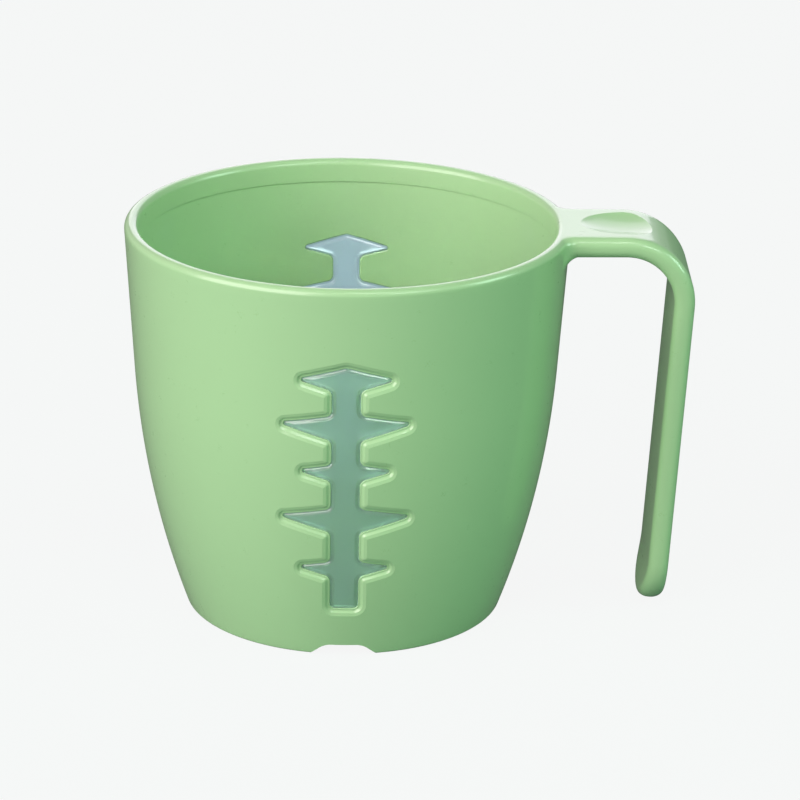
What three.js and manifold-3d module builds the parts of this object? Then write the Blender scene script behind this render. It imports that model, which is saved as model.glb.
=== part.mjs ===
// Accessible mug: a moulded bowl with an open-ended handle and two graduated see-through windows.
// Millimetres, +Z up, handle towards +X, windows in the front (-Y) and rear (+Y) walls.

import * as THREE from 'three';
import { mergeVertices } from 'three/addons/utils/BufferGeometryUtils.js';
import Module from 'manifold-3d';

const wasm = await Module();
wasm.setup();

// Bowl
const mugHeight = 81.3;
const rimRadius = 45;
const wallThickness = 2.6;
const wallDraftDegrees = 3.75; // slope of the straight upper wall
const curveStart = 50.6; // height below which the wall curves in
const curveRadius = 183;
const ledgeWidth = 0.2; // the lip is thicker than the wall by this much
const ledgeDrop = 4.8; // from the rim down to the foot of the lip inside
const floorThickness = 3.3;
const floorFillet = 6;

// Foot ring
const footDepth = 4; // hollow under the floor
const footWidth = 3;
const footEdge = 0.8;
const hollowFillet = 1;
const notchHeight = 2.5;
const notchTopWidth = 7.6;
const notchFootWidth = 13.4;
const notchCorner = 1.5;

// Graduated windows
const markVolume = 50000; // cubic millimetres of drink from one mark to the next
const markTopMargin = 12; // least height from the last mark to the rim
const stemWidth = 5.6;
const stemStart = 4.1; // from the floor up to the foot of the window
const stemFootRadius = 0.6;
const shortMarkSpan = 16.9;
const longMarkSpan = 24.4;
const markTopDegrees = 10.5;
const markUnderDegrees = 16.5;
const roofDegrees = 15; // slope of the last mark's roof
const roofRadius = 2;
const tipRadius = 0.5;
const innerCornerRadius = 1.4;

// Border moulded round each window, from the outside of the wall inwards
const bevelWidth = 0.75;
const bevelDepth = 0.7;
const shelfWidth = 0.25;
const roundWidth = 0.2;
const roundDepth = 0.4;
const tongueReach = 0.5; // how far the insert's edge reaches into the wall

// Window insert
const seatGap = 0.3;
const stripWidth = 0.15; // low strip along the insert's edge
const shoulderWidth = 0.45; // sloping shoulder up to the raised middle
const insertRise = 0.5;

// Handle
const handleWidth = 22;
const handleThickness = 4.2;
const handleEdge = 1.9;
const crestRise = 0.05; // the rim's crest stands this little above the handle's top
const fingerGap = 20.8; // from the rim to the inside of the leg
const handleBend = 14; // outside radius of the bend
const legLeanDegrees = 3.2;
const legClearance = 0.4; // from the table up to the round end of the leg
const legFlare = 1.2; // the end of the leg swells towards the bowl
const legFlareLength = 10.5;
const rootFillet = 3; // seen from above, between rim and handle
const underFillet = 3; // under the handle, between wall and handle
const rootSink = 0.15; // the root starts this far inside the wall
const dishRadius = 30; // of a ball that fits the length of the thumb dish
const dishDepth = 1.55;
const dishSetback = 11.6; // from the rim to the deepest place of the dish
const dishNarrowing = 0.78; // width of the dish across the handle to its length along it

// Facets
const turnSteps = 60;
const wallSteps = 6;
const filletSteps = 3;
const lipSteps = 3; // on each side of the crest
const bendSteps = 7;
const widthSteps = 6;
const endSteps = 6;
const dishSteps = 5;
const pointSteps = 3; // rounding of the window's points
const hollowSteps = 1; // rounding of its inner corners
const fillStep = 0.05; // height of one slice when the bowl's volume is added up
const mergeDistance = 1e-4;

// Worked out from the sizes above
const radians = THREE.MathUtils.degToRad;
const draft = radians(wallDraftDegrees);
const lean = radians(legLeanDegrees);
const lipThickness = wallThickness + ledgeWidth;
const lipRadius = lipThickness / 2;
const crestRadius = rimRadius - lipRadius;
const lipCentreHeight = mugHeight - lipRadius;
const floorTop = footDepth + floorThickness;
const straightFoot = crestRadius + lipRadius / Math.cos(draft)
  - (lipCentreHeight - curveStart) * Math.tan(draft);
const curveCentreRadius = straightFoot - curveRadius * Math.cos(draft);
const curveCentreHeight = curveStart + curveRadius * Math.sin(draft);
const handleTop = mugHeight - crestRise;
const handleReach = rimRadius + fingerGap + handleThickness;
const seatDepth = bevelDepth + roundDepth; // where the insert's outer edge begins
const tongueDepth = (seatDepth + wallThickness) / 2;
const borderWidth = bevelWidth + shelfWidth + roundWidth;
const clearCut = rimRadius / 2; // cutters start outside and end inside the wall by this much
const cutLead = seatGap; // flanks of a cutter run this far past the surface they cut

// Radius of the surface that lies a given depth inside the outer wall
function wallRadius(height, depth) {
  const radius = curveRadius - depth;
  const bend = curveCentreHeight - radius * Math.sin(draft);
  if (height < bend) {
    return curveCentreRadius + Math.sqrt(radius ** 2 - (curveCentreHeight - height) ** 2);
  }
  return straightFoot - depth / Math.cos(draft) + (height - curveStart) * Math.tan(draft);
}

// Radius of the outside, the rounded lip included
function outsideRadius(height) {
  const aboveLip = height - lipCentreHeight;
  if (aboveLip < 0) return wallRadius(height, 0);
  return crestRadius + Math.sqrt(lipRadius ** 2 - aboveLip ** 2);
}

// Angle between the wall and the upright at that height and depth
function wallSlope(height, depth) {
  return Math.max(draft, Math.asin((curveCentreHeight - height) / (curveRadius - depth)));
}

// Points of an arc in the plane of a profile, both ends included
function arc(radius, height, arcRadius, from, to, steps) {
  const points = [];
  for (let step = 0; step <= steps; step++) {
    const angle = from + (to - from) * step / steps;
    points.push(new THREE.Vector2(
      radius + arcRadius * Math.cos(angle),
      height + arcRadius * Math.sin(angle),
    ));
  }
  return points;
}

// Points of the wall surface at a given depth, from one height to another
function wallLine(depth, from, to, steps) {
  const points = [];
  for (let step = 0; step <= steps; step++) {
    const height = from + (to - from) * step / steps;
    points.push(new THREE.Vector2(wallRadius(height, depth), height));
  }
  return points;
}

// Closed solid from a three.js geometry
function solidFrom(geometry) {
  geometry.deleteAttribute('normal');
  geometry.deleteAttribute('uv');
  const merged = mergeVertices(geometry, mergeDistance);
  const corners = merged.index.array;
  const triangles = [];
  for (let first = 0; first < corners.length; first += 3) {
    const [a, b, c] = corners.slice(first, first + 3);
    if (a !== b && b !== c && c !== a) triangles.push(a, b, c);
  }
  return new wasm.Manifold(new wasm.Mesh({
    numProp: 3,
    vertProperties: new Float32Array(merged.attributes.position.array),
    triVerts: new Uint32Array(triangles),
  }));
}

// Solid of revolution about Z from a profile of radius and height, narrowed across if wanted
function turned(profile, narrowing = 1) {
  const geometry = new THREE.LatheGeometry(profile, turnSteps);
  geometry.rotateX(Math.PI / 2);
  geometry.scale(1, narrowing, 1);
  return solidFrom(geometry);
}

// Solid through rings of equal point count, with flat ends. An end ring that is folded flat
// closes by itself, and its outline then has no inside to fill.
function lofted(rings, firstOutline, lastOutline) {
  const count = rings[0].length;
  const last = (rings.length - 1) * count;
  const triangles = [];
  for (let ring = 0; ring < rings.length - 1; ring++) {
    for (let point = 0; point < count; point++) {
      const next = (point + 1) % count;
      const a = ring * count + point;
      const b = ring * count + next;
      triangles.push(a, b + count, b, a, a + count, b + count);
    }
  }
  for (const [a, b, c] of THREE.ShapeUtils.triangulateShape(firstOutline, [])) {
    triangles.push(a, b, c);
  }
  for (const [a, b, c] of THREE.ShapeUtils.triangulateShape(lastOutline, [])) {
    triangles.push(last + a, last + c, last + b);
  }
  const geometry = new THREE.BufferGeometry().setFromPoints(rings.flat());
  geometry.setIndex(triangles);
  return solidFrom(geometry);
}

function namedMesh(name, solid, material) {
  const { vertProperties, triVerts } = solid.getMesh();
  const geometry = new THREE.BufferGeometry();
  geometry.setAttribute('position', new THREE.BufferAttribute(vertProperties, 3));
  geometry.setIndex(new THREE.BufferAttribute(triVerts, 1));
  geometry.computeVertexNormals();
  const mesh = new THREE.Mesh(geometry, material);
  mesh.name = name;
  return mesh;
}

// Bowl: foot ring, outer wall, rounded lip, inside ledge, inner wall and floor, turned as one
const filletHeight = floorTop + floorFillet;
const filletRadius = wallRadius(filletHeight, wallThickness + floorFillet);
const filletSlope = wallSlope(filletHeight, wallThickness + floorFillet);
const filletTop = filletHeight - floorFillet * Math.sin(filletSlope);

function bowl() {
  const footCentre = wallRadius(footEdge, footEdge);
  const footSlope = wallSlope(footEdge, footEdge);
  const footTop = footEdge - footEdge * Math.sin(footSlope);
  const hollowRadius = footCentre + footEdge - footWidth;
  const ledgeHeight = mugHeight - ledgeDrop;
  return turned([
    new THREE.Vector2(0, footDepth),
    ...arc(hollowRadius - hollowFillet, footDepth - hollowFillet, hollowFillet,
      Math.PI / 2, 0, filletSteps),
    new THREE.Vector2(hollowRadius, 0),
    ...arc(footCentre, footEdge, footEdge, -Math.PI / 2, -footSlope, filletSteps),
    ...wallLine(0, footTop, curveStart, wallSteps),
    ...arc(crestRadius, lipCentreHeight, lipRadius, -draft, Math.PI / 2, lipSteps),
    ...arc(crestRadius, lipCentreHeight, lipRadius, Math.PI / 2, Math.PI - draft, lipSteps),
    new THREE.Vector2(wallRadius(ledgeHeight, lipThickness), ledgeHeight),
    ...wallLine(wallThickness, ledgeHeight, curveStart, 1),
    ...wallLine(wallThickness, curveStart, filletTop, wallSteps),
    ...arc(filletRadius, filletHeight, floorFillet, -filletSlope, -Math.PI / 2, filletSteps),
    new THREE.Vector2(0, floorTop),
  ]);
}

// Height of the drink's surface for a volume poured in
function fillHeight(volume) {
  let height = floorTop;
  let filled = 0;
  while (filled < volume && height < mugHeight) {
    const middle = height + fillStep / 2;
    const inFillet = middle < filletTop;
    const radius = inFillet
      ? filletRadius + Math.sqrt(floorFillet ** 2 - (filletHeight - middle) ** 2)
      : wallRadius(middle, wallThickness);
    filled += Math.PI * radius ** 2 * fillStep;
    height += fillStep;
  }
  return height;
}

// Heights of the marks that fit under the rim
function markHeights() {
  const heights = [];
  let height = fillHeight(markVolume);
  while (height < mugHeight - markTopMargin) {
    heights.push(height);
    height = fillHeight(markVolume * (heights.length + 1));
  }
  return heights;
}

// Corners of the window, seen from the front: a stem with a pair of pointed marks at each volume,
// long ones at every second mark, and a roof over the last pair
function windowCorners() {
  const half = stemWidth / 2;
  const topSlope = Math.tan(radians(markTopDegrees));
  const underSlope = Math.tan(radians(markUnderDegrees));
  const tipAngle = radians(markTopDegrees + markUnderDegrees) / 2;
  const tipLead = tipRadius / Math.sin(tipAngle) - tipRadius;
  const right = [{ x: half, z: floorTop + stemStart, radius: stemFootRadius }];
  const heights = markHeights();
  heights.forEach((z, index) => {
    const span = index % 2 === 0 ? shortMarkSpan : longMarkSpan;
    const tip = span / 2 + tipLead;
    right.push({ x: half, z: z - (tip - half) * underSlope, radius: innerCornerRadius });
    right.push({ x: tip, z, radius: tipRadius });
    if (index < heights.length - 1) {
      right.push({ x: half, z: z + (tip - half) * topSlope, radius: innerCornerRadius });
    } else {
      right.push({ x: 0, z: z + tip * Math.tan(radians(roofDegrees)), radius: roofRadius });
    }
  });
  const left = right.slice(0, -1).reverse();
  return [...right, ...left.map((corner) => ({ ...corner, x: -corner.x }))];
}

// Window outline grown outwards by a distance, with every corner rounded
function windowOutline(grow) {
  const corners = windowCorners();
  const points = corners.map(({ x, z }) => new THREE.Vector2(x, z));
  const outline = [];
  corners.forEach(({ radius }, index) => {
    const before = points[(index + points.length - 1) % points.length];
    const after = points[(index + 1) % points.length];
    const into = points[index].clone().sub(before).normalize();
    const out = after.clone().sub(points[index]).normalize();
    const turn = into.cross(out);
    const side = Math.sign(turn); // +1 at a point of the window, -1 at a point of the wall
    const angle = Math.acos(into.dot(out));
    const bend = Math.max(radius + side * grow, radius / filletSteps);
    const normalIn = new THREE.Vector2(into.y, -into.x);
    const normalOut = new THREE.Vector2(out.y, -out.x);
    const mitre = normalIn.clone().add(normalOut).multiplyScalar(grow / (1 + into.dot(out)));
    const start = points[index].clone().add(mitre);
    start.addScaledVector(into, -bend * Math.tan(angle / 2));
    const centre = start.clone().addScaledVector(normalIn, -side * bend);
    const steps = side > 0 ? pointSteps : hollowSteps;
    for (let step = 0; step <= steps; step++) {
      outline.push(start.clone().rotateAround(centre, side * angle * step / steps));
    }
  });
  return outline;
}

// A stage carried on past the end of a flank, at the flank's own slope
function carriedOn(end, before) {
  const share = cutLead / Math.abs(end.depth - before.depth);
  return {
    grow: end.grow + (end.grow - before.grow) * share,
    depth: end.depth + (end.depth - before.depth) * share,
  };
}

// Solid that follows the front wall, with its outline grown by a set amount at each depth,
// and carried on past its first and last depth
function windowSolid(stages) {
  const first = carriedOn(stages[0], stages[1]);
  const last = carriedOn(stages.at(-1), stages.at(-2));
  const rings = [first, ...stages.slice(1, -1), last].map(({ grow, depth }) => (
    windowOutline(grow).map(({ x, y }) => (
      new THREE.Vector3(x, -Math.sqrt(wallRadius(y, depth) ** 2 - x ** 2), y)
    ))
  ));
  const front = rings[0].map(({ x, z }) => new THREE.Vector3(x, -rimRadius - clearCut, z));
  const back = rings.at(-1).map(({ x, z }) => new THREE.Vector3(x, -clearCut, z));
  return lofted([front, ...rings, back], windowOutline(first.grow), windowOutline(last.grow));
}

// Hole through the wall: bevel, shelf, rounded edge and the groove that holds the insert's tongue
function windowHole() {
  return windowSolid([
    { grow: borderWidth, depth: 0 },
    { grow: shelfWidth + roundWidth, depth: bevelDepth },
    { grow: roundWidth, depth: bevelDepth },
    { grow: 0, depth: seatDepth },
    { grow: tongueReach, depth: tongueDepth },
    { grow: 0, depth: wallThickness },
  ]);
}

// Layer of the wall between two depths, over the height of the windows
function wallLayer(outerDepth, innerDepth) {
  const outer = wallLine(outerDepth, floorTop, curveStart, wallSteps);
  const inner = wallLine(innerDepth, curveStart, floorTop, wallSteps);
  const top = mugHeight - ledgeDrop;
  return turned([
    ...outer,
    new THREE.Vector2(wallRadius(top, outerDepth), top),
    new THREE.Vector2(wallRadius(top, innerDepth), top),
    ...inner,
    outer[0].clone(),
  ]);
}

// Insert: an edge with a tongue all round, and a raised middle with sloping shoulders
function windowInsert() {
  const edge = windowSolid([
    { grow: -seatGap, depth: seatDepth },
    { grow: tongueReach - seatGap, depth: tongueDepth },
    { grow: -seatGap, depth: wallThickness },
  ]).intersect(wallLayer(seatDepth, wallThickness));
  const foot = -seatGap - stripWidth;
  const middle = windowSolid([
    { grow: foot - shoulderWidth, depth: seatDepth - insertRise },
    { grow: foot, depth: seatDepth },
  ]).intersect(wallLayer(seatDepth - insertRise, tongueDepth));
  return edge.add(middle);
}

// One ring round the handle: a rounded rectangle from its outer face to its inner face
function handleRing(halfWidth, outer, inner, place) {
  const edge = Math.min(handleEdge, (outer - inner) / 2);
  const across = halfWidth - edge;
  const corners = [
    ...arc(across, outer - edge, edge, 0, Math.PI / 2, filletSteps),
  ];
  for (let step = 1; step < widthSteps; step++) {
    corners.push(new THREE.Vector2(across - 2 * across * step / widthSteps, outer));
  }
  corners.push(...arc(-across, outer - edge, edge, Math.PI / 2, Math.PI, filletSteps));
  corners.push(...arc(-across, inner + edge, edge, Math.PI, 1.5 * Math.PI, filletSteps));
  for (let step = 1; step < widthSteps; step++) {
    corners.push(new THREE.Vector2(2 * across * step / widthSteps - across, inner));
  }
  corners.push(...arc(across, inner + edge, edge, 1.5 * Math.PI, 2 * Math.PI, filletSteps));
  return corners.map(({ x, y }) => place(-x, y));
}

// Rings at the root, each a set distance off the wall: they widen and deepen towards the wall
function rootRings() {
  const centreY = handleWidth / 2 + rootFillet;
  const centreX = Math.sqrt((rimRadius + rootFillet) ** 2 - centreY ** 2);
  const wallSide = Math.atan2(-centreY, -centreX);
  const sideLine = arc(centreX, centreY, rootFillet, wallSide, -Math.PI / 2, bendSteps);
  const ringAt = (standOff, halfWidth) => {
    const reach = Math.min(Math.max(underFillet - standOff, 0), underFillet);
    const drop = underFillet - Math.sqrt(underFillet ** 2 - reach ** 2);
    return handleRing(halfWidth, 0, -handleThickness - drop, (y, height) => {
      const distance = outsideRadius(handleTop + height) + standOff;
      return new THREE.Vector3(Math.sqrt(distance ** 2 - y ** 2), y, handleTop + height);
    });
  };
  return [
    ringAt(-lipThickness - lipRadius, sideLine[0].y),
    ...sideLine.map((point) => ringAt(point.length() - rimRadius - rootSink, point.y)),
  ];
}

// Rings round the bend, down the leg and round its tongue-shaped end, where each half of the ring
// turns about the middle of the leg until the two halves meet
function legRings() {
  const bendX = handleReach - handleBend;
  const bendZ = handleTop - handleBend;
  const bendEnd = bendZ - handleBend * Math.sin(lean);
  const outerEnd = bendEnd - legClearance + handleEdge * Math.sin(lean);
  const legLength = outerEnd / Math.cos(lean);
  const straight = legLength - handleWidth / 2;
  const flareStart = legLength - legFlareLength;
  const ringAt = (angle, along, turn) => (
    handleRing(handleWidth / 2, 0, -handleThickness, (y, height) => {
      const reach = along + Math.abs(y) * Math.sin(turn);
      const swell = legFlare * THREE.MathUtils.smoothstep(reach, flareStart, legLength);
      const out = handleBend + height * (1 + swell / handleThickness);
      return new THREE.Vector3(
        bendX + out * Math.cos(angle) + reach * Math.sin(angle),
        y * Math.cos(turn),
        bendZ + out * Math.sin(angle) - reach * Math.cos(angle),
      );
    })
  );
  const rings = [];
  for (let step = 0; step <= bendSteps; step++) {
    rings.push(ringAt(Math.PI / 2 - (Math.PI / 2 + lean) * step / bendSteps, 0, 0));
  }
  rings.push(ringAt(-lean, flareStart - handleEdge, 0));
  for (let step = 0; step <= endSteps; step++) {
    rings.push(ringAt(-lean, straight, Math.PI / 2 * step / endSteps));
  }
  return rings;
}

function handle() {
  const rings = [...rootRings(), ...legRings()];
  const rootOutline = rings[0].map(({ y, z }) => new THREE.Vector2(-y, z));
  const top = mugHeight + handleThickness;
  const foot = mugHeight - handleThickness * 3;
  const mouth = turned([
    new THREE.Vector2(0, foot),
    new THREE.Vector2(crestRadius, foot),
    new THREE.Vector2(crestRadius, top),
    new THREE.Vector2(0, top),
  ]);
  return lofted(rings, rootOutline, []).subtract(mouth);
}

// Shallow dish for the thumb, cut into the top of the handle and open to its bend
function thumbDish() {
  const above = dishDepth * 2;
  const rise = dishRadius - dishDepth - above;
  const edgeAngle = -Math.asin(rise / dishRadius);
  const profile = [
    ...arc(0, dishRadius - dishDepth, dishRadius, -Math.PI / 2, edgeAngle, dishSteps),
    new THREE.Vector2(0, above),
  ];
  return turned(profile, dishNarrowing).translate([rimRadius + dishSetback, 0, handleTop]);
}

// Drain notches through the front and rear of the foot ring
function drainNotches() {
  const foot = notchFootWidth / 2;
  const top = notchTopWidth / 2;
  const shape = new THREE.Shape();
  shape.moveTo(-foot, -notchHeight);
  shape.lineTo(foot, -notchHeight);
  shape.lineTo(foot, 0);
  shape.lineTo(top + notchCorner, notchHeight - notchCorner / 2);
  shape.quadraticCurveTo(top, notchHeight, top - notchCorner, notchHeight);
  shape.lineTo(notchCorner - top, notchHeight);
  shape.quadraticCurveTo(-top, notchHeight, -top - notchCorner, notchHeight - notchCorner / 2);
  shape.lineTo(-foot, 0);
  const geometry = new THREE.ExtrudeGeometry(shape, {
    depth: 2 * rimRadius,
    bevelEnabled: false,
    curveSegments: filletSteps,
  });
  geometry.rotateX(Math.PI / 2);
  geometry.translate(0, rimRadius, 0);
  return solidFrom(geometry);
}

const bodyPlastic = new THREE.MeshStandardMaterial({
  color: 0xa3ca94,
  roughness: 0.3,
  metalness: 0,
});
const windowPlastic = new THREE.MeshStandardMaterial({
  color: 0x96b2c0,
  roughness: 0.15,
  metalness: 0,
  transparent: true,
  opacity: 0.5,
});

const halfTurn = [0, 0, 180];
const hole = windowHole();
const insert = windowInsert();
const body = bowl()
  .add(handle())
  .subtract(thumbDish())
  .subtract(drainNotches())
  .subtract(hole)
  .subtract(hole.rotate(halfTurn));

const mug = new THREE.Group();
mug.add(namedMesh('mug_body', body, bodyPlastic));
mug.add(namedMesh('front_window', insert, windowPlastic));
mug.add(namedMesh('rear_window', insert.rotate(halfTurn), windowPlastic.clone()));
mug.position.x = (rimRadius - handleReach) / 2; // origin under the middle of the whole mug

export default mug;
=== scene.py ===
# Accessible mug: a light green bowl with an open-ended handle and two graduated see-through windows.
# Metres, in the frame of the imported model: +Z up, handle towards +X, front window towards -Y.

import math

import bmesh
import bpy
from mathutils import Matrix, Vector


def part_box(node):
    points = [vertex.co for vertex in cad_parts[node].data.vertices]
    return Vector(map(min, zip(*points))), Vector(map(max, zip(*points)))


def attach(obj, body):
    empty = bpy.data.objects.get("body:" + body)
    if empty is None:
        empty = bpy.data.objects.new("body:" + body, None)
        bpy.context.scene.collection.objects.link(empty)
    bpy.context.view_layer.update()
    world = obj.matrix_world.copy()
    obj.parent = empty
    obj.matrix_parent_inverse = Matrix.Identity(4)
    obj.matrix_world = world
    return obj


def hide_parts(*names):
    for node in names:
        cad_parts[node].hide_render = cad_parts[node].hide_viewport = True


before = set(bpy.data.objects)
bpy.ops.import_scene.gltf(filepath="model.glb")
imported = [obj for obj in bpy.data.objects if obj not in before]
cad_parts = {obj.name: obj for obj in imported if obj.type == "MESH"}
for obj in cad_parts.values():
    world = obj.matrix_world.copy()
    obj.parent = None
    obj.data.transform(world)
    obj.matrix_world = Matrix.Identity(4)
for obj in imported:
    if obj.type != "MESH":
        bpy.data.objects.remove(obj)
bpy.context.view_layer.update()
body_low, body_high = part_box("mug_body")

# Bowl
MUG_HEIGHT = body_high[2]
RIM_RADIUS = body_high[1]
AXIS_X = body_low[0] + RIM_RADIUS
WALL = 0.0026
WALL_DRAFT = math.radians(3.75)  # slope of the straight upper wall
CURVE_START = 0.0506  # height below which the wall curves in
CURVE_RADIUS = 0.183
LEDGE_WIDTH = 0.0002  # the lip is thicker than the wall by this much
LEDGE_DROP = 0.0048  # from the rim down to the foot of the lip inside
LEDGE_EDGE = 0.0001  # rounding of the lip's lower edge
FLOOR = 0.0033
FLOOR_FILLET = 0.006

# Foot ring
FOOT_DEPTH = 0.004  # hollow under the floor
FOOT_WIDTH = 0.003
FOOT_EDGE = 0.0008
HOLLOW_FILLET = 0.001
NOTCH_HEIGHT = 0.0025
NOTCH_TOP_WIDTH = 0.0076
NOTCH_FOOT_WIDTH = 0.0134
NOTCH_ROUNDING = 0.0012

# Graduated windows
MARK_VOLUME = 50e-6  # cubic metres of drink from one mark to the next
MARK_TOP_MARGIN = 0.012  # least height from the last mark to the rim
STEM_WIDTH = 0.0056
STEM_START = 0.0041  # from the floor up to the foot of the window
STEM_FOOT_ROUNDING = 0.001
SHORT_MARK_SPAN = 0.0169
LONG_MARK_SPAN = 0.0244
MARK_TOP_SLOPE = math.radians(10.5)
MARK_UNDER_SLOPE = math.radians(16.5)
ROOF_SLOPE = math.radians(15)
ROOF_ROUNDING = 0.002
TIP_ROUNDING = 0.0005
INNER_CORNER_ROUNDING = 0.0014
LEAST_ROUNDING = 0.125  # share of a corner's rounding that stays, however the outline is grown

# Border moulded round each window, from the outside of the wall inwards
BRIM_REACH = 0.00072  # the hole's cutter starts this far outside the border
BRIM_LIFT = 0.00012  # and this far off the wall
BRIM_SOFTENING = 0.00024  # where the wall turns into the bevel
BRIM_DIP = 0.00006  # depth at the outer end of that softening
BRIM_DEPTH = 0.00014  # and at its middle
BEVEL_WIDTH = 0.00075
BEVEL_DEPTH = 0.0007
SHELF_WIDTH = 0.00025
ROUND_WIDTH = 0.0002
ROUND_DEPTH = 0.0003
TONGUE_REACH = 0.0005  # how far the insert's edge reaches into the wall
INNER_ROUND_WIDTH = 0.0003  # rounding of the hole's edge inside the bowl
INNER_ROUND_END = math.radians(72)  # where that rounding runs out into the wall
EDGE_SOFTENING = 0.00012  # of the finer edges
CORNER_LIFT = 0.00004  # a softened corner lies this far off the sharp one

# Window insert
SEAT_GAP = 0.00002
STRIP_WIDTH = 0.0002  # low strip along the insert's edge, on its outer face
INNER_STRIP_WIDTH = 0.00045  # and on its inner face
SHOULDER_WIDTH = 0.0004  # sloping shoulder up to the raised middle
INSERT_RISE = 0.00027
MIDDLE_REACH = 0.00036  # the middle's solid starts this far inside the top of the shoulder
MIDDLE_LIFT = 0.00006  # and this far off its face, until it is cut flush

# Handle
HANDLE_REACH = body_high[0] - AXIS_X
HANDLE_WIDTH = 0.022
HANDLE_THICKNESS = 0.0042
HANDLE_EDGE = 0.0019
CREST_RISE = 0.00001  # the rim's crest stands this little above the handle's top
HANDLE_BEND = 0.014  # outside radius of the bend
LEG_LEAN = math.radians(3.2)
LEG_CLEARANCE = 0.0004  # from the table up to the round end of the leg
LEG_FLARE = 0.0012  # the end of the leg swells towards the bowl
LEG_FLARE_LENGTH = 0.0105
ROOT_FILLET = 0.003  # seen from above, between rim and handle
UNDER_FILLET = 0.003  # under the handle, between wall and handle
ROOT_SINK = 0.00015  # the root starts this far inside the wall
DISH_RADIUS = 0.03  # of a ball that fits the length of the thumb dish
DISH_DEPTH = 0.00155
DISH_SETBACK = 0.0116  # from the rim to the deepest place of the dish
DISH_NARROWING = 0.78  # width of the dish across the handle to its length along it
DISH_CLEARANCE = 0.0031  # the dish's cutter ends this far above the handle

# Fineness of the meshes
TURN_STEPS = 240
WALL_STEP = 0.0016
FLOOR_STEP = 0.002
ARC_STEP = math.radians(9)
CORNER_STEPS = 8
SECTION_STEP = 0.0014
OUTLINE_STEP = 0.0006
ROOT_STEPS = 16
PLATE_STEPS = 6
BEND_STEPS = 26
LEG_STEPS = 26
END_STEPS = 16
DISH_STEPS = 24
FILL_STEP = 0.00005  # height of one slice when the bowl's volume is added up
MERGE_DISTANCE = 1e-6  # nearer than this, two places are the same
SHARP_ANGLE = math.radians(12)

# Green plastic of the body
GREEN_DARK = (0.36, 0.61, 0.305, 1)
GREEN_LIGHT = (0.38, 0.63, 0.32, 1)
GREEN_FLOW = 28.0  # cells to the metre in the faint flow of colour
GREEN_ROUGHNESS = 0.24
GREEN_SKIN = 0.06  # roughness that the moulded skin adds
GREEN_IOR = 1.5
GREEN_COAT = 0.4
GREEN_COAT_ROUGHNESS = 0.1

# Bluish see-through plastic of the windows
BLUISH_DARK = (0.67, 0.96, 0.81, 1)
BLUISH_LIGHT = (0.71, 1, 0.85, 1)
BLUISH_FLOW = 60.0
BLUISH_ROUGHNESS = 0.3
BLUISH_SKIN = 0.08
BLUISH_IOR = 1.46
BLUISH_CLEARNESS = 0.86  # share of the light that goes through
BLUISH_COAT = 1.0
BLUISH_COAT_IOR = 1.55
BLUISH_COAT_ROUGHNESS = 0.05

# Moulded skin of both plastics
SKIN_CELLS = 420.0  # to the metre
GRAIN_CELLS = 3800.0  # to the metre, in the fine grain on the skin
GRAIN_ROUGHNESS = 0.04  # roughness that the grain adds
GRAIN_SHARE = 0.1  # height of the grain to that of the skin
RELIEF_STRENGTH = 0.05
RELIEF_HEIGHT = 0.00005

# Sockets of a Mix node that blends colours
MIX_FACTOR = 0
MIX_FIRST = 6
MIX_SECOND = 7
MIX_RESULT = 2

# Camera
CAMERA_TARGET = Vector((-0.001338, 0, 0.042744))
CAMERA_DISTANCE = 0.8
CAMERA_ELEVATION = math.radians(20.203)
CAMERA_AZIMUTH = math.radians(-1.10)
CAMERA_ROLL = math.radians(0.981)
CAMERA_LENS = 175.52  # millimetres
SENSOR_WIDTH = 36.0  # millimetres

# Surroundings
FLOOR_SIZE = 12.0
FLOOR_COLOUR = (0.19, 0.37, 0.3, 1)  # greenish, in the light that it throws back at the mug
FLOOR_WHITE = 0.9  # share of plain white in the floor, as the camera sees it
AMBIENT = 0.08  # soft light from all round
WHITE = (1, 1, 1, 1)
THROUGH_COLOUR = (0.47, 0.46, 0.7, 1)  # the background as it shows through the windows
MIRRORED_SKY = (0.4, 0.4, 0.4, 1)  # and as glossy faces show it
MIRRORED_FLOOR = (0.1, 0.1, 0.1, 1)
BOWL_LAMP_SIZE = 0.066
BOWL_LAMP_SPREAD = math.radians(4)
BOWL_LAMP_WATTS = 0.0095
BOWL_LAMP_OFFSET = Vector((-0.02, -0.1, 0.3))  # from the middle of the mouth

# Worked out from the sizes above
QUARTER_TURN = math.pi / 2
LIP_THICKNESS = WALL + LEDGE_WIDTH
LIP_RADIUS = LIP_THICKNESS / 2
CREST_RADIUS = RIM_RADIUS - LIP_RADIUS
LIP_CENTRE_HEIGHT = MUG_HEIGHT - LIP_RADIUS
LEDGE_HEIGHT = MUG_HEIGHT - LEDGE_DROP
FLOOR_TOP = FOOT_DEPTH + FLOOR
STRAIGHT_FOOT = (
    CREST_RADIUS
    + LIP_RADIUS / math.cos(WALL_DRAFT)
    - (LIP_CENTRE_HEIGHT - CURVE_START) * math.tan(WALL_DRAFT)
)
CURVE_CENTRE_RADIUS = STRAIGHT_FOOT - CURVE_RADIUS * math.cos(WALL_DRAFT)
CURVE_CENTRE_HEIGHT = CURVE_START + CURVE_RADIUS * math.sin(WALL_DRAFT)
SEAT_DEPTH = BEVEL_DEPTH + ROUND_DEPTH  # of the low strip on the insert's outer face
INNER_SEAT_DEPTH = WALL - INSERT_RISE  # and on its inner face
TONGUE_DEPTH = (SEAT_DEPTH + INNER_SEAT_DEPTH) / 2
BORDER_WIDTH = BEVEL_WIDTH + SHELF_WIDTH + ROUND_WIDTH
CLEAR_CUT = RIM_RADIUS / 2  # cutters start outside and end inside the wall by this much
HANDLE_TOP = MUG_HEIGHT - CREST_RISE
BEND_X = AXIS_X + HANDLE_REACH - HANDLE_BEND
BEND_Z = HANDLE_TOP - HANDLE_BEND
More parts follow.
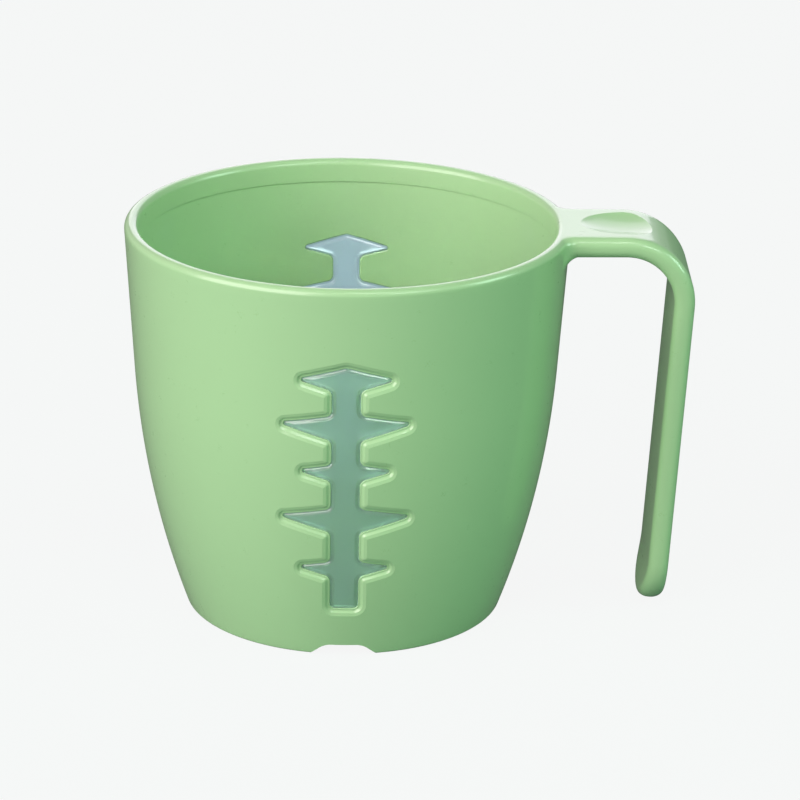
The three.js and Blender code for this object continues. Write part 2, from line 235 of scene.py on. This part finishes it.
BEND_END = BEND_Z - HANDLE_BEND * math.sin(LEG_LEAN)
LEG_LENGTH = (BEND_END - LEG_CLEARANCE + HANDLE_EDGE * math.sin(LEG_LEAN)) / math.cos(LEG_LEAN)
LEG_STRAIGHT = LEG_LENGTH - HANDLE_WIDTH / 2
FLARE_START = LEG_LENGTH - LEG_FLARE_LENGTH


# Radius of the surface that lies a given depth inside the outer wall
def wall_radius(height, depth=0.0):
    radius = CURVE_RADIUS - depth
    bend = CURVE_CENTRE_HEIGHT - radius * math.sin(WALL_DRAFT)
    if height < bend:
        return CURVE_CENTRE_RADIUS + math.sqrt(radius**2 - (CURVE_CENTRE_HEIGHT - height) ** 2)
    straight = (height - CURVE_START) * math.tan(WALL_DRAFT)
    return STRAIGHT_FOOT - depth / math.cos(WALL_DRAFT) + straight


# Radius of the outside, the rounded lip included
def outside_radius(height):
    above_lip = height - LIP_CENTRE_HEIGHT
    if above_lip < 0:
        return wall_radius(height)
    return CREST_RADIUS + math.sqrt(LIP_RADIUS**2 - above_lip**2)


# Angle between the wall and the upright at that height and depth
def wall_slope(height, depth):
    return max(WALL_DRAFT, math.asin((CURVE_CENTRE_HEIGHT - height) / (CURVE_RADIUS - depth)))


# Points from one place to another, both ends included
def run(start, end, spacing):
    steps = math.ceil((end - start).length / spacing)
    return [start.lerp(end, step / steps) for step in range(steps + 1)]


# Points round an arc of a profile, both ends included
def arc(centre_x, centre_y, radius, start, end):
    steps = math.ceil(abs(end - start) / ARC_STEP)
    turns = [start + (end - start) * step / steps for step in range(steps + 1)]
    return [Vector((centre_x + radius * math.cos(t), centre_y + radius * math.sin(t))) for t in turns]


# Points of the wall surface at a given depth, from one height to another
def wall_line(depth, start, end):
    steps = math.ceil(abs(end - start) / WALL_STEP)
    heights = [start + (end - start) * step / steps for step in range(steps + 1)]
    return [Vector((wall_radius(height, depth), height)) for height in heights]


# Select one piece alone and make it active
def pick(piece):
    bpy.ops.object.select_all(action="DESELECT")
    piece.select_set(True)
    bpy.context.view_layer.objects.active = piece


# Select the faces or edges of the mesh in edit mode whose middle is in the right place
def select_where(piece, wanted):
    bpy.ops.mesh.select_all(action="DESELECT")
    shape = bmesh.from_edit_mesh(piece.data)
    edges_only = bpy.context.tool_settings.mesh_select_mode[1]
    elements = shape.edges if edges_only else shape.faces
    for element in elements:
        middle = sum((vertex.co for vertex in element.verts), Vector()) / len(element.verts)
        element.select_set(wanted(middle))
    shape.select_flush_mode()
    bmesh.update_edit_mesh(piece.data)


# Merge seams and poles, turn the faces outwards and leave edit mode
def close_mesh():
    bpy.ops.mesh.select_all(action="SELECT")
    bpy.ops.mesh.remove_doubles(threshold=MERGE_DISTANCE)
    bpy.ops.mesh.normals_make_consistent(inside=False)
    bpy.ops.object.mode_set(mode="OBJECT")


# A line from point to point, drawn by extruding one vertex along it, and left in edit mode
def drawn_line(name, points):
    bpy.ops.object.select_all(action="DESELECT")
    bpy.ops.mesh.primitive_plane_add(size=WALL)
    line = bpy.context.object
    line.name = name
    bpy.ops.object.mode_set(mode="EDIT")
    bpy.ops.mesh.merge(type="CENTER")
    bpy.ops.transform.translate(value=points[0])
    for start, end in zip(points, points[1:]):
        bpy.ops.mesh.extrude_vertices_move(TRANSFORM_OT_translate={"value": end - start})
    return line


# A solid turned about an upright axis, from a profile of radius and height
def turned(name, profile, axis_x=AXIS_X):
    piece = drawn_line(name, [Vector((axis_x + radius, 0, height)) for radius, height in profile])
    bpy.ops.mesh.select_all(action="SELECT")
    bpy.ops.mesh.spin(steps=TURN_STEPS, angle=2 * math.pi, center=(axis_x, 0, 0), axis=(0, 0, 1))
    close_mesh()
    return piece


# Move each selected vertex to the point of a ring that its order names
def place_loop(piece, ring):
    loop = bmesh.from_edit_mesh(piece.data)
    order = loop.verts.layers.int["order"]
    for vertex in loop.verts:
        if vertex.select:
            vertex.co = ring[vertex[order]]
    bmesh.update_edit_mesh(piece.data)


# A solid modelled ring by ring: the end face of a loop is extruded again and again, and each new
# loop is moved to its place
def ring_by_ring(name, rings):
    bpy.ops.object.select_all(action="DESELECT")
    bpy.ops.mesh.primitive_circle_add(vertices=len(rings[0]), fill_type="NGON")
    piece = bpy.context.object
    piece.name = name
    order = piece.data.attributes.new("order", "INT", "POINT")
    order.data.foreach_set("value", range(len(rings[0])))
    bpy.ops.object.mode_set(mode="EDIT")
    bpy.ops.mesh.select_all(action="SELECT")
    place_loop(piece, rings[0])
    for ring in rings[1:]:
        bpy.ops.mesh.extrude_region_move()
        place_loop(piece, ring)
    close_mesh()
    return piece


# Join another solid to a piece, cut it away, or keep what they share
def combine(piece, other, operation):
    change = piece.modifiers.new(operation, "BOOLEAN")
    change.operation = operation
    change.solver = "MANIFOLD"
    change.object = other
    bpy.context.view_layer.objects.active = piece
    bpy.ops.object.modifier_apply(modifier=change.name)
    bpy.data.objects.remove(other)


# A copy with its own mesh, turned half round the bowl's axis
def half_turned(piece, name):
    pick(piece)
    bpy.ops.object.duplicate()
    copy = bpy.context.object
    copy.name = name
    bpy.ops.object.mode_set(mode="EDIT")
    bpy.ops.mesh.select_all(action="SELECT")
    bpy.ops.transform.rotate(value=math.pi, orient_axis="Z", center_override=(AXIS_X, 0, 0))
    bpy.ops.object.mode_set(mode="OBJECT")
    return copy


# Fillet between the floor and the wall inside: its centre, and where it runs out into the wall
FILLET_HEIGHT = FLOOR_TOP + FLOOR_FILLET
FILLET_RADIUS = wall_radius(FILLET_HEIGHT, WALL + FLOOR_FILLET)
FILLET_SLOPE = wall_slope(FILLET_HEIGHT, WALL + FLOOR_FILLET)
FILLET_TOP = FILLET_HEIGHT - FLOOR_FILLET * math.sin(FILLET_SLOPE)


# Profile of the outside, from the middle of the hollow under the floor up to the lip
def outside_profile():
    foot_centre = wall_radius(FOOT_EDGE, FOOT_EDGE)
    foot_slope = wall_slope(FOOT_EDGE, FOOT_EDGE)
    foot_top = FOOT_EDGE - FOOT_EDGE * math.sin(foot_slope)
    hollow_radius = foot_centre + FOOT_EDGE - FOOT_WIDTH
    hollow_edge = hollow_radius - HOLLOW_FILLET
    inner_edge = FOOT_EDGE / 2
    under = run(Vector((0, FOOT_DEPTH)), Vector((hollow_edge, FOOT_DEPTH)), FLOOR_STEP)
    hollow = arc(hollow_edge, FOOT_DEPTH - HOLLOW_FILLET, HOLLOW_FILLET, QUARTER_TURN, 0)
    inner_foot = arc(hollow_radius + inner_edge, inner_edge, inner_edge, math.pi, 3 * QUARTER_TURN)
    outer_foot = arc(foot_centre, FOOT_EDGE, FOOT_EDGE, -QUARTER_TURN, -foot_slope)
    outside = wall_line(0, foot_top, LIP_CENTRE_HEIGHT - LIP_RADIUS * math.sin(WALL_DRAFT))
    return under[:-1] + hollow + inner_foot + outer_foot + outside[1:-1]


# Profile of the rounded lip and of the inside, down to the middle of the floor
def inside_profile():
    ledge_radius = wall_radius(LEDGE_HEIGHT, LIP_THICKNESS) + LEDGE_EDGE
    lip = arc(CREST_RADIUS, LIP_CENTRE_HEIGHT, LIP_RADIUS, -WALL_DRAFT, math.pi - WALL_DRAFT)
    lip_foot = arc(ledge_radius, LEDGE_HEIGHT + LEDGE_EDGE, LEDGE_EDGE, math.pi, 3 * QUARTER_TURN)
    lip_inside = run(lip[-1], lip_foot[0], WALL_STEP)
    inside = wall_line(WALL, LEDGE_HEIGHT, FILLET_TOP)
    fillet = arc(FILLET_RADIUS, FILLET_HEIGHT, FLOOR_FILLET, -FILLET_SLOPE, -QUARTER_TURN)
    floor = run(Vector((FILLET_RADIUS, FLOOR_TOP)), Vector((0, FLOOR_TOP)), FLOOR_STEP)
    return lip + lip_inside[1:-1] + lip_foot + inside + fillet[1:] + floor[1:]


# Bowl: foot ring, outer wall, rounded lip, inside ledge, inner wall and floor, turned as one
def bowl():
    return turned("mug_body_plastic", outside_profile() + inside_profile())


# Height of the drink's surface for a volume poured in
def fill_height(volume):
    height = FLOOR_TOP
    filled = 0.0
    while filled < volume and height < MUG_HEIGHT:
        middle = height + FILL_STEP / 2
        radius = wall_radius(middle, WALL)
        if middle < FILLET_TOP:
            radius = FILLET_RADIUS + math.sqrt(FLOOR_FILLET**2 - (FILLET_HEIGHT - middle) ** 2)
        filled += math.pi * radius**2 * FILL_STEP
        height += FILL_STEP
    return height


# Heights of the marks that fit under the rim
def mark_heights():
    heights = []
    height = fill_height(MARK_VOLUME)
    while height < MUG_HEIGHT - MARK_TOP_MARGIN:
        heights.append(height)
        height = fill_height(MARK_VOLUME * (len(heights) + 1))
    return heights


# Corners of the window with their roundings, seen from the front: a stem with a pair of pointed
# marks at each volume, long ones at every second mark, and a roof over the last pair
def window_corners():
    half = STEM_WIDTH / 2
    tip_angle = (MARK_TOP_SLOPE + MARK_UNDER_SLOPE) / 2
    tip_lead = TIP_ROUNDING / math.sin(tip_angle) - TIP_ROUNDING
    right = [(Vector((half, FLOOR_TOP + STEM_START)), STEM_FOOT_ROUNDING)]
    heights = mark_heights()
    for index, height in enumerate(heights):
        span = LONG_MARK_SPAN if index % 2 else SHORT_MARK_SPAN
        tip = span / 2 + tip_lead
        under = height - (tip - half) * math.tan(MARK_UNDER_SLOPE)
        over = height + (tip - half) * math.tan(MARK_TOP_SLOPE)
        right.append((Vector((half, under)), INNER_CORNER_ROUNDING))
        right.append((Vector((tip, height)), TIP_ROUNDING))
        if index < len(heights) - 1:
            right.append((Vector((half, over)), INNER_CORNER_ROUNDING))
    left = [(Vector((-point.x, point.y)), rounding) for point, rounding in reversed(right)]
    roof = Vector((0, heights[-1] + tip * math.tan(ROOF_SLOPE)))
    return [*right, (roof, ROOF_ROUNDING), *left]


# How many pieces each straight side of a loop of corners is cut into
def side_cuts(corners):
    following = corners[1:] + corners[:1]
    lengths = [(after[0] - before[0]).length for before, after in zip(corners, following)]
    return [math.ceil(length / OUTLINE_STEP) for length in lengths]


# Loop of points through corners, grown outwards by a distance, with every corner rounded
def rounded_loop(corners, cuts, grow=0.0):
    arcs = []
    count = len(corners)
    for index, (point, rounding) in enumerate(corners):
        into = (point - corners[index - 1][0]).normalized()
        out = (corners[(index + 1) % count][0] - point).normalized()
        side = math.copysign(1, into.x * out.y - into.y * out.x)  # -1 where the loop turns inwards
        angle = into.angle(out)
        bend = max(rounding + side * grow, rounding * LEAST_ROUNDING)
        normal_in = Vector((into.y, -into.x))
        normal_out = Vector((out.y, -out.x))
        corner = point + (normal_in + normal_out) * grow / (1 + into.dot(out))
        centre = corner - into * bend * math.tan(angle / 2) - normal_in * side * bend
        first = math.atan2(normal_in.y * side, normal_in.x * side)
        turns = [first + side * angle * step / CORNER_STEPS for step in range(CORNER_STEPS + 1)]
        arcs.append([centre + Vector((math.cos(turn), math.sin(turn))) * bend for turn in turns])
    loop = []
    for points, following, cut in zip(arcs, arcs[1:] + arcs[:1], cuts):
        loop += points
        loop += [points[-1].lerp(following[0], step / cut) for step in range(1, cut)]
    return loop


WINDOW_CORNERS = window_corners()
WINDOW_CUTS = side_cuts(WINDOW_CORNERS)


# Solid that follows the front wall. Each stage is a pair: how far the outline is grown, and how deep
# in the wall it lies there
def window_solid(name, stages):
    rings = []
    for grow, depth in stages:
        outline = rounded_loop(WINDOW_CORNERS, WINDOW_CUTS, grow)
        rings.append([
            Vector((AXIS_X + x, -math.sqrt(wall_radius(z, depth) ** 2 - x**2), z)) for x, z in outline
        ])
    front = [Vector((point.x, -RIM_RADIUS - CLEAR_CUT, point.z)) for point in rings[0]]
    back = [Vector((point.x, -CLEAR_CUT, point.z)) for point in rings[-1]]
    return ring_by_ring(name, [front, *rings, back])


# Hole through the wall: softened brim, bevel, shelf, rounded edge, the groove that holds the
# insert's tongue, and a rounded edge inside the bowl
def window_hole():
    shelf = SHELF_WIDTH + ROUND_WIDTH
    slope = BEVEL_DEPTH / BEVEL_WIDTH
    stages = [
        (BORDER_WIDTH + BRIM_REACH, -BRIM_LIFT),
        (BORDER_WIDTH + BRIM_SOFTENING, BRIM_DIP),
        (BORDER_WIDTH, BRIM_DEPTH),
        (BORDER_WIDTH - BRIM_SOFTENING, BRIM_SOFTENING * slope),
        (shelf + EDGE_SOFTENING, BEVEL_DEPTH - EDGE_SOFTENING * slope),
        (shelf, BEVEL_DEPTH - CORNER_LIFT),
        (shelf - EDGE_SOFTENING, BEVEL_DEPTH),
    ]
    for point in arc(0, 0, 1, 0, QUARTER_TURN):
        stages.append((ROUND_WIDTH * (1 - point.y), BEVEL_DEPTH + ROUND_DEPTH * (1 - point.x)))
    stages.append((TONGUE_REACH, TONGUE_DEPTH))
    for point in arc(0, 0, 1, 0, INNER_ROUND_END):
        stages.append((INNER_ROUND_WIDTH * (1 - point.x), INNER_SEAT_DEPTH + INSERT_RISE * point.y))
    stages.append((INNER_ROUND_WIDTH, WALL + CORNER_LIFT))
    return window_solid("window_hole", stages)


# Layer of the wall between two depths, over the height of the windows
def wall_layer(outer_depth, inner_depth):
    outer = wall_line(outer_depth, FLOOR_TOP, LEDGE_HEIGHT)
    inner = wall_line(inner_depth, LEDGE_HEIGHT, FLOOR_TOP)
    return turned("wall_layer", [*outer, *inner, outer[0]])


# Edge of the insert: a low strip on both faces, with a tongue all round
def insert_edge():
    taper = TONGUE_REACH / 2  # past both faces, where the edge is cut flush
    edge = window_solid("front_window_plastic", [
        (-SEAT_GAP - taper, SEAT_DEPTH - TONGUE_REACH),
        (-SEAT_GAP, SEAT_DEPTH),
        (TONGUE_REACH - SEAT_GAP, TONGUE_DEPTH),
        (-SEAT_GAP, INNER_SEAT_DEPTH),
        (-SEAT_GAP - taper, INNER_SEAT_DEPTH + TONGUE_REACH),
    ])
    combine(edge, wall_layer(SEAT_DEPTH, INNER_SEAT_DEPTH), "INTERSECT")
    return edge


# Middle of the insert, raised on both faces, with a sloping shoulder round it
def insert_middle():
    foot = -SEAT_GAP - STRIP_WIDTH
    top = foot - SHOULDER_WIDTH
    plateau = SEAT_DEPTH - INSERT_RISE
    slope = SHOULDER_WIDTH / INSERT_RISE
    outer_shoulder = [
        (top - MIDDLE_REACH, plateau - MIDDLE_LIFT),
        (top - EDGE_SOFTENING, plateau + CORNER_LIFT),
        (top + EDGE_SOFTENING * slope, plateau + EDGE_SOFTENING),
        (foot, SEAT_DEPTH),
    ]
    inset = INNER_STRIP_WIDTH - STRIP_WIDTH
    inner_shoulder = [
        (grow - inset, plateau + WALL - depth)
        for grow, depth in reversed(outer_shoulder)
    ]
    middle = window_solid("window_middle", [*outer_shoulder, *inner_shoulder])
    combine(middle, wall_layer(plateau, WALL), "INTERSECT")
    return middle


# Window insert: edge and middle joined
def window_insert():
    insert = insert_edge()
    combine(insert, insert_middle(), "UNION")
    return insert


# Section of the handle as across and height, with its top at height 0
def handle_section(half_width, thickness):
    corners = [
        (Vector((-half_width, 0)), HANDLE_EDGE),
        (Vector((-half_width, -thickness)), HANDLE_EDGE),
        (Vector((half_width, -thickness)), HANDLE_EDGE),
        (Vector((half_width, 0)), HANDLE_EDGE),
    ]
    side = math.ceil(HANDLE_THICKNESS / SECTION_STEP)
    across = math.ceil(HANDLE_WIDTH / SECTION_STEP)
    return rounded_loop(corners, [side, across, side, across])


# A ring at the root, a given distance off the wall: it deepens towards the wall
def root_ring(stand_off, half_width):
    reach = min(max(UNDER_FILLET - stand_off, 0), UNDER_FILLET)
    drop = UNDER_FILLET - math.sqrt(UNDER_FILLET**2 - reach**2)
    ring = []
    for across, height in handle_section(half_width, HANDLE_THICKNESS + drop):
        distance = outside_radius(HANDLE_TOP + height) + stand_off
        ring.append(Vector((AXIS_X + math.sqrt(distance**2 - across**2), across, HANDLE_TOP + height)))
    return ring


# Rings at the root, along a fillet that is tangent to the wall and to the side of the handle
def root_rings():
    fillet_y = HANDLE_WIDTH / 2 + ROOT_FILLET
    fillet_x = math.sqrt((RIM_RADIUS + ROOT_FILLET) ** 2 - fillet_y**2)
    wall_side = math.atan2(-fillet_y, -fillet_x)
    rings = []
    for step in range(ROOT_STEPS + 1):
        turn = wall_side + (-QUARTER_TURN - wall_side) * step / ROOT_STEPS
        side_x = fillet_x + ROOT_FILLET * math.cos(turn)
        side_y = fillet_y + ROOT_FILLET * math.sin(turn)
        rings.append(root_ring(math.hypot(side_x, side_y) - RIM_RADIUS, side_y))
    inside_wall = root_ring(-ROOT_SINK, fillet_y + ROOT_FILLET * math.sin(wall_side))
    middle = sum(point.z for point in inside_wall) / len(inside_wall)
    closing = [Vector((point.x, point.y, middle)) for point in inside_wall]
    return [closing, inside_wall, *rings]


# A share from 0 to 1 that starts and ends smoothly
def eased(share):
    held = min(max(share, 0), 1)
    return held**2 * (3 - 2 * held)


# A ring round the bend or down the leg. Near the end each half of it turns about the middle of the
# leg until the two halves meet
def leg_ring(angle, along, turn=0.0):
    ring = []
    for across, height in handle_section(HANDLE_WIDTH / 2, HANDLE_THICKNESS):
        reach = along + abs(across) * math.sin(turn)
        swell = LEG_FLARE * eased((reach - FLARE_START) / LEG_FLARE_LENGTH)
        out = HANDLE_BEND + height * (1 + swell / HANDLE_THICKNESS)
        ring.append(Vector((
            BEND_X + out * math.cos(angle) + reach * math.sin(angle),
            across * math.cos(turn),
            BEND_Z + out * math.sin(angle) - reach * math.cos(angle),
        )))
    return ring


# Handle: root, flat top plate, bend and leg with a tongue-shaped end
def handle():
    root = root_rings()
    bend = [
        leg_ring(QUARTER_TURN - (QUARTER_TURN + LEG_LEAN) * step / BEND_STEPS, 0)
        for step in range(BEND_STEPS + 1)
    ]
    plate = [
        [start.lerp(end, step / PLATE_STEPS) for start, end in zip(root[-1], bend[0])]
        for step in range(1, PLATE_STEPS)
    ]
    leg = [leg_ring(-LEG_LEAN, LEG_STRAIGHT * step / LEG_STEPS) for step in range(1, LEG_STEPS + 1)]
    end = [
        leg_ring(-LEG_LEAN, LEG_STRAIGHT, QUARTER_TURN * step / END_STEPS)
        for step in range(1, END_STEPS + 1)
    ]
    return ring_by_ring("handle", [*root, *plate, *bend, *leg, *end])


# Shallow dish for the thumb, cut into the top of the handle and open to its bend
def thumb_dish():
    bottom = HANDLE_TOP - DISH_DEPTH
    rise = DISH_RADIUS - DISH_DEPTH - DISH_CLEARANCE
    edge_angle = -math.asin(rise / DISH_RADIUS)
    profile = []
    for step in range(DISH_STEPS + 1):
        turn = -QUARTER_TURN + (edge_angle + QUARTER_TURN) * step / DISH_STEPS
        profile.append(Vector((DISH_RADIUS * math.cos(turn), bottom + DISH_RADIUS * (1 + math.sin(turn)))))
    profile.append(Vector((0, HANDLE_TOP + DISH_CLEARANCE)))
    dish = turned("thumb_dish", profile, AXIS_X + RIM_RADIUS + DISH_SETBACK)
    bpy.ops.object.mode_set(mode="EDIT")
    bpy.ops.transform.resize(value=(1, DISH_NARROWING, 1), center_override=(0, 0, 0))
    bpy.ops.object.mode_set(mode="OBJECT")
    return dish


# Drain notch through the foot ring, from front to rear: a bar with sloping sides and rounded edges
def drain_notch():
    bpy.ops.object.select_all(action="DESELECT")
    bpy.ops.mesh.primitive_cube_add(size=1)
    notch = bpy.context.object
    notch.name = "drain_notch"
    bpy.ops.object.mode_set(mode="EDIT")
    bpy.ops.transform.resize(value=(NOTCH_FOOT_WIDTH, 2 * RIM_RADIUS, NOTCH_HEIGHT))
    bpy.ops.transform.translate(value=(AXIS_X, 0, NOTCH_HEIGHT / 2))
    below_top = NOTCH_HEIGHT - MERGE_DISTANCE
    select_where(notch, lambda middle: middle.z > below_top)
    narrowing = NOTCH_TOP_WIDTH / NOTCH_FOOT_WIDTH
    bpy.ops.transform.resize(value=(narrowing, 1, 1), center_override=(AXIS_X, 0, 0))
    select_where(notch, lambda middle: middle.z < MERGE_DISTANCE)
    bpy.ops.mesh.extrude_region_move(TRANSFORM_OT_translate={"value": (0, 0, -NOTCH_HEIGHT)})
    bpy.ops.mesh.select_mode(type="EDGE")
    select_where(notch, lambda middle: middle.z > below_top and abs(middle.x - AXIS_X) > MERGE_DISTANCE)
    bpy.ops.mesh.bevel(offset=NOTCH_ROUNDING, segments=CORNER_STEPS, affect="EDGES")
    bpy.ops.mesh.select_mode(type="VERT")
    close_mesh()
    return notch


# The green body: bowl and handle joined, with the dish, the notches and both holes cut
def mug_body():
    body = bowl()
    combine(body, handle(), "UNION")
    combine(body, thumb_dish(), "DIFFERENCE")
    combine(body, drain_notch(), "DIFFERENCE")
    hole = window_hole()
    rear_hole = half_turned(hole, "rear_hole")
    combine(body, hole, "DIFFERENCE")
    combine(body, rear_hole, "DIFFERENCE")
    return body


# Smooth shading up to the sharp edges, and the places that the piece has in the model
def finish_piece(piece, node, material):
    pick(piece)
    bpy.ops.object.shade_smooth_by_angle(angle=SHARP_ANGLE)
    piece.data.materials.clear()
    piece.data.materials.append(material)
    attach(piece, "root")
    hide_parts(node)


# A socket of a material, with the arithmetic that its shaders need
class Wire:
    def __init__(self, tree, socket=None):
        self.tree = tree
        self.socket = socket

    # Any node: its type, its settings, and the values or links of its sockets
    def node(self, kind, settings, sockets, output=0):
        made = self.tree.nodes.new(kind)
        for name, value in settings.items():
            setattr(made, name, value)
        for name, value in sockets.items():
            if isinstance(value, Wire):
                self.tree.links.new(value.socket, made.inputs[name])
            else:
                made.inputs[name].default_value = value
        return Wire(self.tree, made.outputs[output] if made.outputs else None)

    def math(self, operation, first, second):
        return self.node("ShaderNodeMath", {"operation": operation}, {0: first, 1: second})

    def __add__(self, other):
        return self.math("ADD", self, other)

    def __mul__(self, other):
        return self.math("MULTIPLY", self, other)

    __radd__ = __add__
    __rmul__ = __mul__

    # Noise of a given number of cells to the metre
    def noise(self, cells):
        place = self.node("ShaderNodeTexCoord", {}, {}, "Object")
        return self.node("ShaderNodeTexNoise", {}, {"Vector": place, "Scale": cells})

    # 1 for rays of one kind, 0 for all others
    def ray(self, kind):
        return self.node("ShaderNodeLightPath", {}, {}, kind)

    # Blend of two colours
    def blend(self, factor, first, second):
        sockets = {MIX_FACTOR: factor, MIX_FIRST: first, MIX_SECOND: second}
        return self.node("ShaderNodeMix", {"data_type": "RGBA"}, sockets, MIX_RESULT)


# An empty material, and the wire that builds its nodes
def new_material(name):
    material = bpy.data.materials.new(name)
    material.use_nodes = True
    material.node_tree.nodes.clear()
    return material, Wire(material.node_tree)


# Link a shader to a material's output
def show(wire, shader):
    wire.node("ShaderNodeOutputMaterial", {}, {"Surface": shader})


# What both plastics share: two shades that flow into each other, and a moulded skin with a fine
# grain, in the roughness and in a faint relief
def moulded_surface(wire, dark, light, flow_cells, roughness, skin_roughness):
    skin = wire.noise(SKIN_CELLS)
    grain = wire.noise(GRAIN_CELLS)
    relief = wire.node("ShaderNodeBump", {}, {
        "Strength": RELIEF_STRENGTH,
        "Distance": RELIEF_HEIGHT,
        "Height": skin + grain * GRAIN_SHARE,
    })
    return {
        "Base Color": wire.blend(wire.noise(flow_cells), dark, light),
        "Roughness": roughness + skin * skin_roughness + grain * GRAIN_ROUGHNESS,
        "Normal": relief,
    }


# Glossy light green moulded plastic
def body_plastic():
    material, wire = new_material("body_plastic")
    surface = moulded_surface(wire, GREEN_DARK, GREEN_LIGHT, GREEN_FLOW, GREEN_ROUGHNESS, GREEN_SKIN)
    show(wire, wire.node("ShaderNodeBsdfPrincipled", {}, {
        **surface,
        "IOR": GREEN_IOR,
        "Coat Weight": GREEN_COAT,
        "Coat Roughness": GREEN_COAT_ROUGHNESS,
    }))
    return material


# See-through bluish moulded plastic, slightly hazy under a glossy skin
def window_plastic():
    material, wire = new_material("window_plastic")
    surface = moulded_surface(wire, BLUISH_DARK, BLUISH_LIGHT, BLUISH_FLOW, BLUISH_ROUGHNESS, BLUISH_SKIN)
    show(wire, wire.node("ShaderNodeBsdfPrincipled", {}, {
        **surface,
        "IOR": BLUISH_IOR,
        "Transmission Weight": BLUISH_CLEARNESS,
        "Coat Weight": BLUISH_COAT,
        "Coat IOR": BLUISH_COAT_IOR,
        "Coat Roughness": BLUISH_COAT_ROUGHNESS,
    }))
    return material


# Camera at the photograph's angle
def add_camera():
    back = Vector((
        math.sin(CAMERA_AZIMUTH) * math.cos(CAMERA_ELEVATION),
        -math.cos(CAMERA_AZIMUTH) * math.cos(CAMERA_ELEVATION),
        math.sin(CAMERA_ELEVATION),
    ))
    camera = bpy.data.objects.new("camera", bpy.data.cameras.new("camera"))
    bpy.context.collection.objects.link(camera)
    camera.data.lens = CAMERA_LENS
    camera.data.sensor_width = SENSOR_WIDTH
    camera.location = CAMERA_TARGET + back * CAMERA_DISTANCE
    turn = (-back).to_track_quat("-Z", "Y").to_matrix()
    roll = Matrix.Rotation(CAMERA_ROLL, 3, "Z")
    camera.rotation_euler = (turn @ roll).to_euler()
    bpy.context.scene.camera = camera


# Hang a lamp at a place, facing another
def hang(lamp, place, aim):
    hung = bpy.data.objects.new(lamp.name, lamp)
    hung.location = place
    hung.rotation_euler = (aim - place).to_track_quat("-Z", "Y").to_euler()
    bpy.context.collection.objects.link(hung)


# A soft rectangular lamp that faces the mug
def add_softbox(name, place, width, height, watts, tint):
    lamp = bpy.data.lights.new(name, "AREA")
    lamp.shape = "RECTANGLE"
    lamp.size = width
    lamp.size_y = height
    lamp.energy = watts
    lamp.color = tint
    hang(lamp, Vector(place), CAMERA_TARGET)


# A broad key from the left, a fill from the right, a backdrop that the handle's top mirrors, and two
# small lamps for the glints along the edges of the windows
def add_softboxes():
    add_softbox("key", (-1.0, -0.84, 0.62), width=1.6, height=1.3, watts=30.8, tint=(1, 0.868, 0.915))
    add_softbox("fill", (1.15, -0.2, 0.6), width=0.5, height=0.5, watts=6.2, tint=(0.68, 1, 0.8))
    add_softbox("backdrop", (0.03, 1.5, 0.66), width=0.95, height=1.3, watts=7.3, tint=(0.94, 0.84, 1))
    add_softbox("glint", (0.53, -0.76, 0.77), width=0.42, height=0.2, watts=2.3, tint=(0.86, 1, 0.92))
    add_softbox("rear_glint", (0.15, -0.6, 1.0), width=0.3, height=0.13, watts=1.1, tint=(1, 1, 1))


# A round lamp over the mouth, whose narrow beam lights the inside of the bowl alone
def add_bowl_lamp():
    lamp = bpy.data.lights.new("bowl_lamp", "AREA")
    lamp.shape = "DISK"
    lamp.size = BOWL_LAMP_SIZE
    lamp.spread = BOWL_LAMP_SPREAD
    lamp.energy = BOWL_LAMP_WATTS
    mouth = Vector((AXIS_X, 0, MUG_HEIGHT))
    hang(lamp, mouth + BOWL_LAMP_OFFSET, mouth)


# Colour of the plain background: white to the eye, dimmer through the windows and in gloss
def background_colour(wire, mirrored):
    direct = wire.blend(wire.ray("Is Glossy Ray"), WHITE, mirrored)
    return wire.blend(wire.ray("Is Transmission Ray"), direct, THROUGH_COLOUR)


# Share of that colour in what a ray sees, which is none for the light that falls on the mug
def background_share(wire, straight):
    indirect = wire.math("MAXIMUM", wire.ray("Is Transmission Ray"), wire.ray("Is Glossy Ray"))
    return wire.ray("Is Camera Ray") * straight + indirect


# World: soft light from all round, plain white where it is seen
def add_world():
    world = bpy.data.worlds.new("studio")
    world.use_nodes = True
    world.node_tree.nodes.clear()
    bpy.context.scene.world = world
    wire = Wire(world.node_tree)
    colour = background_colour(wire, MIRRORED_SKY)
    strength = AMBIENT + background_share(wire, 1) * (1 - AMBIENT)
    sky = wire.node("ShaderNodeBackground", {}, {"Color": colour, "Strength": strength})
    wire.node("ShaderNodeOutputWorld", {}, {"Surface": sky})


# Pale floor: nearly white to the eye, with the mug's soft shadow
def add_floor():
    bpy.ops.object.select_all(action="DESELECT")
    bpy.ops.mesh.primitive_plane_add(size=FLOOR_SIZE)
    floor = bpy.context.object
    floor.name = "floor"
    material, wire = new_material("floor_paper")
    paper = wire.node("ShaderNodeBsdfDiffuse", {}, {"Color": FLOOR_COLOUR})
    plain = wire.node("ShaderNodeEmission", {}, {"Color": background_colour(wire, MIRRORED_FLOOR)})
    factor = background_share(wire, FLOOR_WHITE)
    show(wire, wire.node("ShaderNodeMixShader", {}, {0: factor, 1: paper, 2: plain}))
    floor.data.materials.append(material)


green = body_plastic()
bluish = window_plastic()
body = mug_body()
front = window_insert()
rear = half_turned(front, "rear_window_plastic")
finish_piece(body, "mug_body", green)
finish_piece(front, "front_window", bluish)
finish_piece(rear, "rear_window", bluish)

add_camera()
add_world()
add_floor()
add_softboxes()
add_bowl_lamp()
bpy.context.scene.view_settings.view_transform = "Standard"
